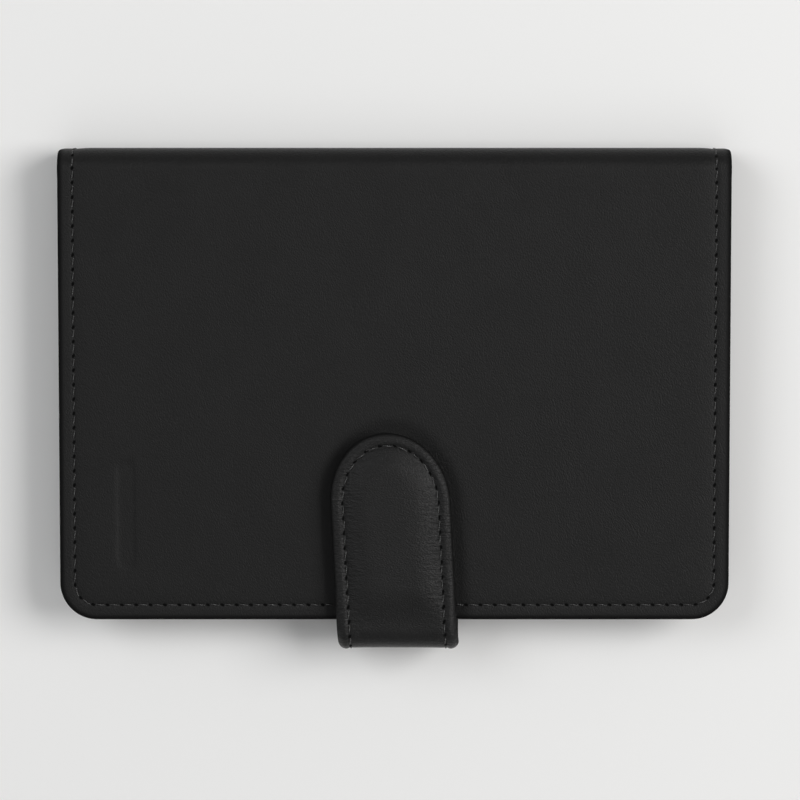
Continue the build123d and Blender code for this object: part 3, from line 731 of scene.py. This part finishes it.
def lining_face(u, s, d):
    """The lining's surface: level on the cover, stepping down off the board into the spine."""
    step = (COVER - SPINE_THIN) * smooth((s + LINING_INSET - board_edge) / 1.5)
    groove = 0.12 * bell(d - (SEAM - LINING_INSET), 0.35)
    return LINING_TOP - step - groove + 0.03 * ripple(u, s, 14, 11) * smooth(d / 3)


def lining_back(u, s, d):
    return lining_face(u, s, d) - LINING


def shifted(place, du, ds):
    """The same wrap for a layer whose own grid starts inside the cover's edges."""
    return lambda u, s, depth: place(u + du, s + ds, depth)


def make_cover(side, front):
    """One half of the case's hide and lining, to the middle of the spine, with its seam."""
    place = front_place if front else back_place
    body = side + "_cover"
    hide = plate(
        body + "_hide", hide_us, hide_ss, place,
        lambda u, s, d: cover_face(u, s, d, front), hide_inside, COVER_CORNER, 1.15,
        rest_end=2 * HALF if front else None,
    )
    settle(hide, hide_leather, side, [body + "_leather"] + ["spine_leather"] * front)
    inner = shifted(place, LINING_INSET, LINING_INSET)
    width = LENGTH - 2 * LINING_INSET
    reach = HALF - LINING_INSET
    steps = edge_lines(SEAM - LINING_INSET, 0.4)
    lining = plate(
        body + "_lining_cloth", lines(width, steps, steps, 2.0), lines(reach, steps, far_lines, 2.0), inner,
        lining_face, lining_back, (CORNER_R - LINING_INSET,) * 2, 0.25,
        rest_end=2 * reach if front else None,
    )
    settle(lining, twill, side, [body + "_lining"] + ["spine_lining"] * front)
    level = cover_seam_level(front)
    routes = [cover_route]
    outer = stitches(body + "_stitches", place, level, routes)
    settle(outer, thread, side, [body + "_seam_thread"] + ["spine_seam_thread"] * front)
    # painted shade over the seam's needle holes
    holes = hole_shade_mesh(body + "_painted_hole_shades", place, level, routes, PITCH, COVER_HOLE)
    settle(holes, hole_shade_paint, side)


def cover_seam_level(front):
    """Depth of the hide's face along its seam."""

    def level(u, s, beside=0.0):
        return cover_face(u, s, SEAM + beside, front)

    return level


make_cover("back", False)
make_cover("front", True)

# ---- passport sleeve ----

SLEEVE_INSET = LINING_INSET
sleeve_width = LENGTH - 2 * SLEEVE_INSET
sleeve_reach = sleeve_high[1] - Y_OPEN - SLEEVE_INSET
SLEEVE_TOP = sleeve_high[2]
SLEEVE_SEAM = SEAM - SLEEVE_INSET
MOUTH_SEAM = 2.2


def root_bump(u, s):
    """The strap's root swells the sleeve's hem where it goes in under it."""
    across = np.abs(u - sleeve_width / 2 - 1.0) - STRAP_WIDTH / 2
    return smooth(0.5 - across / 3) * smooth((TONGUE_Y - Y_OPEN - s) / 5)


def sleeve_face(u, s, d):
    """Pressed down along the sewn hem, level inside it, with a faint roll at the mouth."""
    rise = smooth((d - SLEEVE_SEAM - 0.2) / 5)
    pressed = 0.5 * (1 - rise) * (1 - 0.75 * root_bump(u, s))
    groove = 0.16 * bell(d - SLEEVE_SEAM, 0.4)
    mouth = 0.12 * bell(sleeve_reach - s - MOUTH_SEAM, 0.5) - 0.05 * bell(sleeve_reach - s - 0.9, 0.7)
    wave = 0.07 * (ripple(u, s, 30, 21) - 1) * rise
    return SLEEVE_TOP - 0.05 - pressed - groove - mouth + wave


def sleeve_back(u, s, d):
    gap = smooth((d - HEM + 0.8) / 2.5)
    return LINING_TOP + 0.02 + (sleeve_face(u, s, d) - THIN_LEATHER - LINING_TOP) * gap


sleeve_steps = edge_lines(SLEEVE_SEAM, 0.5)
mouth_steps = np.unique(np.concatenate([curled_lines(0.35, 5), np.arange(0.7, 4, 0.35)]))
sleeve_place = shifted(back_place, SLEEVE_INSET, SLEEVE_INSET)
sleeve = plate(
    "sleeve_panel", lines(sleeve_width, sleeve_steps, sleeve_steps, 1.5),
    lines(sleeve_reach, sleeve_steps, mouth_steps, 1.5), sleeve_place,
    sleeve_face, sleeve_back, (CORNER_R - SLEEVE_INSET,) * 2, 0.36, far_edge=True,
)
settle(sleeve, pocket_leather, "back_cover", ["passport_sleeve"])
mouth_route = np.array([[3.4, sleeve_reach - MOUTH_SEAM], [sleeve_width - 3.4, sleeve_reach - MOUTH_SEAM]])


def sleeve_level(u, s):
    du = np.minimum(u, sleeve_width - u)
    return sleeve_face(u, s, np.minimum(du, s))


mouth_thread = stitches("sleeve_mouth_stitches", sleeve_place, sleeve_level, [mouth_route], -1, 2.8, 0.17)
settle(mouth_thread, thread, "back_cover", ["passport_sleeve_mouth_thread"])


def back_inner_level(u, s):
    """Depth of whatever layer the cover's seam shows on inside the back cover."""
    at_seam = np.full_like(u, SLEEVE_SEAM)
    on_sleeve = sleeve_face(u - SLEEVE_INSET, s - SLEEVE_INSET, at_seam)
    on_lining = lining_face(u - LINING_INSET, s - LINING_INSET, at_seam)
    return np.where(s < sleeve_reach + SLEEVE_INSET, on_sleeve, on_lining)


inside_stitches = stitches("back_cover_inside_stitches", back_place, back_inner_level, [cover_route], -1)
settle(inside_stitches, thread, "back")

# ---- slip pocket and card slot ----

POCKET_HEM_SEAM = 2.0
pocket_width = pocket_high[0] - pocket_low[0]
pocket_reach = pocket_high[1] - pocket_low[1]
slot_low, slot_high = welt_low - pocket_low, welt_high - pocket_low
SLOT_MARGIN = 1.5  # from the welts to the seam round them
slant_from = slot_high[0] + 2 * SLOT_MARGIN


def mouth_squeeze(s):
    """How much the panel is squeezed beyond the card slot, to slant its mouth."""
    return 1 - POCKET_SLANT * s / pocket_reach / (pocket_width - slant_from)


def pocket_place(u, s, depth):
    squeezed = np.minimum(u, slant_from) + np.maximum(u - slant_from, 0) * mouth_squeeze(s)
    return front_place(squeezed + LINING_INSET, s + LINING_INSET, depth)


def pocket_hem(u, s, d):
    """Distance from the pocket's three sewn edges."""
    return np.minimum(np.where(u < pocket_width / 2, d, s), pocket_reach - s)


def slot_gap(u, s):
    """Distance outside the card slot's window."""
    over_u = np.maximum(slot_low[0] - u, u - slot_high[0])
    over_s = np.maximum(slot_low[1] - s, s - slot_high[1])
    return np.maximum(over_u, over_s)


def pocket_face(u, s, d):
    hem = pocket_hem(u, s, d)
    pressed = 0.55 * (1 - smooth((hem - 2) / 5))
    mouth = (pocket_width - u) * mouth_squeeze(s)
    groove = 0.14 * bell(hem - (SEAM - LINING_INSET), 0.4) * (u < pocket_width - 1)
    groove += 0.12 * bell(mouth - POCKET_HEM_SEAM, 0.4)
    groove += 0.12 * bell(slot_gap(u, s) - SLOT_MARGIN, 0.4)
    wave = 0.06 * (ripple(u, s, 26, 31) - 1) * smooth((hem - 2) / 6)
    return POCKET_TOP - 0.05 - pressed - groove + wave


def pocket_back(u, s, d):
    gap = smooth((pocket_hem(u, s, d) - HEM + 0.8) / 1.2)
    return LINING_TOP + 0.02 + (pocket_face(u, s, d) - THIN_LEATHER - LINING_TOP) * gap


window_lines = np.array([-0.6, -0.3, -0.12, 0.0])
around_slot_u = np.concatenate([slot_low[0] + window_lines, slot_high[0] - window_lines])
around_slot_s = np.concatenate([slot_low[1] + window_lines, slot_high[1] - window_lines])
pocket_steps = edge_lines(SEAM - LINING_INSET, 0.5)
pocket_us = lines(pocket_width, pocket_steps, pocket_steps, 1.2, around_slot_u)
pocket_ss = lines(pocket_reach, pocket_steps, pocket_steps, 1.2, around_slot_s)
slot_window = ((slot_low[0], slot_high[0]), (slot_low[1], slot_high[1]))
pocket = plate(
    "slip_pocket_panel", pocket_us, pocket_ss, pocket_place, pocket_face, pocket_back,
    (CORNER_R - LINING_INSET,) * 2, 0.36, far_edge=True, right_corner=False, window=slot_window,
)
settle(pocket, pocket_leather, "front_cover", ["slip_pocket"])
slot_width, slot_length = slot_high[:2] - slot_low[:2]


def welt_place(u, s, depth):
    return pocket_place(u + slot_low[0], s + slot_low[1], depth)


LIP = slot_width / 2 - 0.12  # the lips all but meet
lip_steps = curled_lines(0.9, 8)


def lip_top(u, s, d):
    return np.full_like(u, POCKET_TOP - 0.12)


def lip_back(u, s, d):
    return np.full_like(u, THICKNESS - welt_high[2] + 0.05)


for name, start in (("left", 0), ("right", slot_width - LIP)):
    lip = plate(
        "card_slot_lip_" + name, lines(LIP, lip_steps, lip_steps, 0.4),
        lines(slot_length, lip_steps, lip_steps, 1.5), shifted(welt_place, start, 0),
        lip_top, lip_back, (0, 0), 0.85, far_edge=True,
    )
    settle(lip, pocket_leather, "front_cover", ["card_slot_welts"])


def mouth_u(s):
    return pocket_width - POCKET_HEM_SEAM / mouth_squeeze(s)


spine_side = pocket_reach - POCKET_HEM_SEAM
mouth_ss = np.linspace(spine_side, SEAM, 20)
pocket_route = np.concatenate([[[SEAM, spine_side]], np.stack([mouth_u(mouth_ss), mouth_ss], -1)])
frame_low, frame_high = slot_low[:2] - SLOT_MARGIN, slot_high[:2] + SLOT_MARGIN
slot_route = np.array([
    frame_low, [frame_high[0], frame_low[1]], frame_high, [frame_low[0], frame_high[1]], frame_low,
])


def pocket_level(u, s):
    du = np.minimum(u, pocket_width - u)
    return pocket_face(u, s, np.minimum(du, s))


pocket_stitches = stitches("slip_pocket_stitches", pocket_place, pocket_level, [pocket_route], -1, 2.8, 0.17)
settle(pocket_stitches, thread, "front_cover", ["slip_pocket_edge_thread"])
slot_stitches = stitches("card_slot_stitches", pocket_place, pocket_level, [slot_route], -1, 2.5, 0.15)
settle(slot_stitches, thread, "front_cover", ["card_slot_thread"])


def front_inner_level(u, s):
    """Depth of whatever layer the cover's seam shows on inside the front cover."""
    at_seam = np.full_like(u, SEAM - LINING_INSET)
    on_pocket = pocket_face(np.minimum(u, pocket_width / 3), np.full_like(s, pocket_reach / 3), at_seam)
    on_lining = lining_face(u - LINING_INSET, s - LINING_INSET, at_seam)
    covered = (s < pocket_reach + LINING_INSET) & (u < pocket_width + LINING_INSET)
    return np.where(covered, on_pocket, on_lining)


inside_stitches = stitches("front_cover_inside_stitches", front_place, front_inner_level, [cover_route], -1)
settle(inside_stitches, thread, "front")

# ---- strap ----

STRAP_PITCH = 3.2
tip_shift = END_LENGTH - STRAP_WIDTH / 2
bridge_middle = strap_wrap.middle
flap_reach = strap_length - bridge_middle
root_inside = TONGUE_Y - Y_OPEN
INNER_INSET = 0.25  # of the inner leather's edges, so that they don't show from outside
INNER_WIDTH = STRAP_WIDTH - 2 * INNER_INSET
STUFFING = 1.3  # height of the strap's stuffed middle, where it lies flat
BEND_DROP = 1.4  # how much of that the bends take away


def root_place(u, s, depth):
    return strap_place(u, strap_length - s, depth)


def in_bend(along_strap):
    """1 where the strap bends round the wallet's edge, 0 where it lies flat."""
    first, last = strap_wrap.marks[0], strap_wrap.marks[3]
    return smooth((along_strap - first + 4) / 4) * smooth((last + 9 - along_strap) / 9)


def edge_pull(d, along_strap):
    """The strap's edges draw in a little where it bends."""
    return 0.6 * rolled(d, 2.2) * in_bend(along_strap)


def strap_face(u, s, d, along_strap):
    """A rolled rim, the seam's groove, and a stuffed middle that flattens round the bends."""
    rim = 0.6 * (1 - np.clip(d / 1.7, 0, 1)) ** 2 + 0.2 * smooth((d - 1.6) / 1.0)
    groove = 0.12 * bell(d - STRAP_SEAM, 0.4)
    rise = np.sin(pi / 2 * np.clip((d - STRAP_SEAM) / 6.0, 0, 1))
    puff = (STUFFING - BEND_DROP * in_bend(along_strap)) * rise
    wave = 0.05 * ripple(u, s, 16, 41) * smooth(d / 2)
    return rim + groove - puff + wave + edge_pull(d, along_strap)


def root_skive(s):
    """1 where the strap's root is thinned to go in between the cover's layers."""
    return 1 - smooth((s - root_inside - 0.15) / 1.4)


def root_top(u, s, side):
    """The root's outer face, at a distance side from its long edges."""
    full = strap_face(u, s, side, s)
    return full + (SKIVE - full) * root_skive(s)


def root_face(u, s, d):
    return root_top(u, s, np.minimum(u, STRAP_WIDTH - u))


def flap_fold(u, s, d):
    """Depth at which the strap's two leathers meet."""
    return STRAP_MIDDLE + edge_pull(d, strap_length - s)


def root_fold(u, s, d):
    return STRAP_MIDDLE + edge_pull(np.minimum(u, STRAP_WIDTH - u), s)


def flap_top(u, s, d):
    return strap_face(u, s, d, strap_length - s)


def inner_face(u, s, d):
    """The strap's inner leather is set in from its edges by INNER_INSET, and so is its own grid."""
    groove = 0.2 * bell(d - STRAP_SEAM + INNER_INSET, 0.4)
    return STRAP_THICK - groove


def root_inner_face(u, s, d):
    side = np.minimum(u, INNER_WIDTH - u)
    return inner_face(u, s, side) - SKIVE * root_skive(s)


strap_steps = edge_lines(STRAP_SEAM, 0.85)
inner_steps = edge_lines(STRAP_SEAM - INNER_INSET, 0.85)
outer_us = lines(STRAP_WIDTH, strap_steps, strap_steps, 1.0, [STRAP_WIDTH / 2])
inner_us = lines(INNER_WIDTH, inner_steps, inner_steps, 1.0, [INNER_WIDTH / 2])
outer_ss = lines(flap_reach - tip_shift, strap_steps, [0.0], 0.9)
inner_ss = lines(flap_reach - tip_shift - INNER_INSET, inner_steps, [0.0], 0.9)
root_ss = np.linspace(0, bridge_middle, int(bridge_middle / 0.7))
tip_corner = (STRAP_WIDTH / 2, END_LENGTH)
inner_corner = (INNER_WIDTH / 2, END_LENGTH - INNER_INSET)
inner_end_place = shifted(strap_place, INNER_INSET, INNER_INSET)
inner_root_place = shifted(root_place, INNER_INSET, 0)
end_outer = plate("strap_end_outer", outer_us, outer_ss, strap_place, flap_top, flap_fold, tip_corner, 0.5)
end_inner = plate(
    "strap_end_inner", inner_us, inner_ss, inner_end_place, flap_fold, inner_face, inner_corner, 0.6
)
root_outer = plate("strap_root_outer", outer_us, root_ss, root_place, root_face, root_fold, (0, 0), 0.5)
root_inner = plate(
    "strap_root_inner", inner_us, root_ss, inner_root_place, root_fold, root_inner_face, (0, 0), 0.6
)
# each outer layer stands for the filler behind it too, which leans with it
strap_pieces = (
    (end_outer, "strap_end", ("strap_flap",), ("_outer_leather", "_filler")),
    (end_inner, "strap_end", ("strap_flap",), ("_inner_leather",)),
    (root_outer, "strap_root", ("strap_root", "strap_bridge"), ("_outer_leather", "_filler")),
    (root_inner, "strap_root", ("strap_root", "strap_bridge"), ("_inner_leather",)),
)
for layer, fold, parts, layers in strap_pieces:
    settle(layer, strap_leather, fold, [part + kind for kind in layers for part in parts])

flap_route = u_route(STRAP_WIDTH, flap_reach, tip_corner, STRAP_SEAM)
seam_us = (STRAP_SEAM, STRAP_WIDTH - STRAP_SEAM)
root_routes = [np.array([[u, root_inside + 1.6], [u, bridge_middle]]) for u in seam_us]


def flap_level(u, s, beside=0.0):
    return flap_top(u, s, STRAP_SEAM + beside)


def flap_under(u, s):
    return inner_face(u, s, np.full_like(u, STRAP_SEAM - INNER_INSET))


def root_level(u, s, beside=0.0):
    return root_top(u, s, STRAP_SEAM + beside)


def root_under(u, s):
    return root_inner_face(u - INNER_INSET, s, u)


root_threads = ["strap_root_thread", "strap_bridge_thread"]
seams = (
    ("strap_end", strap_place, flap_level, flap_under, [flap_route], ["strap_flap_thread"]),
    ("strap_root", root_place, root_level, root_under, root_routes, root_threads),
)
for fold, place, level, under, routes, nodes in seams:
    outside = stitches(fold + "_stitches", place, level, routes, 1, STRAP_PITCH)
    settle(outside, thread, fold, nodes)
    # painted shade over the seam's needle holes
    holes = hole_shade_mesh(fold + "_painted_hole_shades", place, level, routes, STRAP_PITCH, STRAP_HOLE)
    settle(holes, hole_shade_paint, fold)
    inside = stitches(fold + "_inside_stitches", place, under, routes, -1, STRAP_PITCH)
    settle(inside, thread, fold)

# ---- CAD pieces that are shown as they are ----

KEPT = {
    "back_cover_board": board_grey,
    "front_cover_board": board_grey,
    "back_cover_infill": felt_grey,
    "front_cover_infill": felt_grey,
    "spine_tape": felt_grey,
    "card_pouch": pouch_cloth,
    "snap_stud": gunmetal,
    "snap_socket": gunmetal,
    "snap_stud_eyelet": old_brass,
    "snap_cap": old_brass,
    "snap_socket_spring": bright_steel,
}
for node, skin in KEPT.items():
    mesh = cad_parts[node].data
    mesh.materials.clear()
    mesh.materials.append(skin)

# ---- floor, camera and light ----

SCENE = bpy.context.scene
FLOOR_HALF = 1.5  # metres
floor_mesh = bpy.data.meshes.new("floor")
floor_corners = [(x * FLOOR_HALF, y * FLOOR_HALF, 0) for x, y in ((-1, -1), (1, -1), (1, 1), (-1, 1))]
floor_mesh.from_pydata(floor_corners, [], [(0, 1, 2, 3)])
floor = bpy.data.objects.new("floor", floor_mesh)
SCENE.collection.objects.link(floor)
floor_mesh.materials.append(material("pale_floor", (0.86, 0.86, 0.855), **{"Roughness": 0.9})[0])

VIEW_DISTANCE = 0.8  # metres
VIEW_TILT = radians(5)
FOCAL_LENGTH = 166.9
SENSOR_WIDTH = 36
aim = Vector((1.2, -3.1, THICKNESS)) * MM
camera = bpy.data.objects.new("camera", bpy.data.cameras.new("camera"))
camera.data.lens = FOCAL_LENGTH
camera.data.sensor_width = SENSOR_WIDTH
camera.data.clip_start = 0.01
camera.location = aim + VIEW_DISTANCE * Vector((0, sin(VIEW_TILT), cos(VIEW_TILT)))
camera.rotation_euler = (-VIEW_TILT, 0, 0)
SCENE.collection.objects.link(camera)
SCENE.camera = camera


def softbox(name, place, size, power, colour):
    """A square light aimed at the wallet."""
    lamp = bpy.data.lights.new(name, "AREA")
    lamp.shape, lamp.size, lamp.energy, lamp.color = "SQUARE", size, power, colour
    made = bpy.data.objects.new(name, lamp)
    made.location = place
    made.rotation_euler = (-Vector(place)).to_track_quat("-Z", "Y").to_euler()
    SCENE.collection.objects.link(made)


softbox("key_light", (0.83, 0.22, 0.95), 0.7, 10.8, (1.0, 0.99, 0.98))
softbox("fill_light", (-0.65, 0.35, 0.9), 0.6, 3.6, (0.98, 0.99, 1.0))
softbox("top_light", (0.0, -0.48, 0.95), 0.8, 1.2, (1.0, 1.0, 1.0))
world = bpy.data.worlds.new("studio")
world.use_nodes = True
sky = world.node_tree
up = new_node(sky, "SeparateXYZ", {"Vector": new_node(sky, "TexCoord").outputs["Generated"]}).outputs["Z"]
dome = between(sky, up, 0.0, 0.9, 0.35, 0.2)
sky.links.new(dome, sky.nodes["Background"].inputs["Strength"])
sky.nodes["Background"].inputs["Color"].default_value = (1.0, 1.0, 1.0, 1)
SCENE.world = world
SCENE.view_settings.view_transform = "Standard"
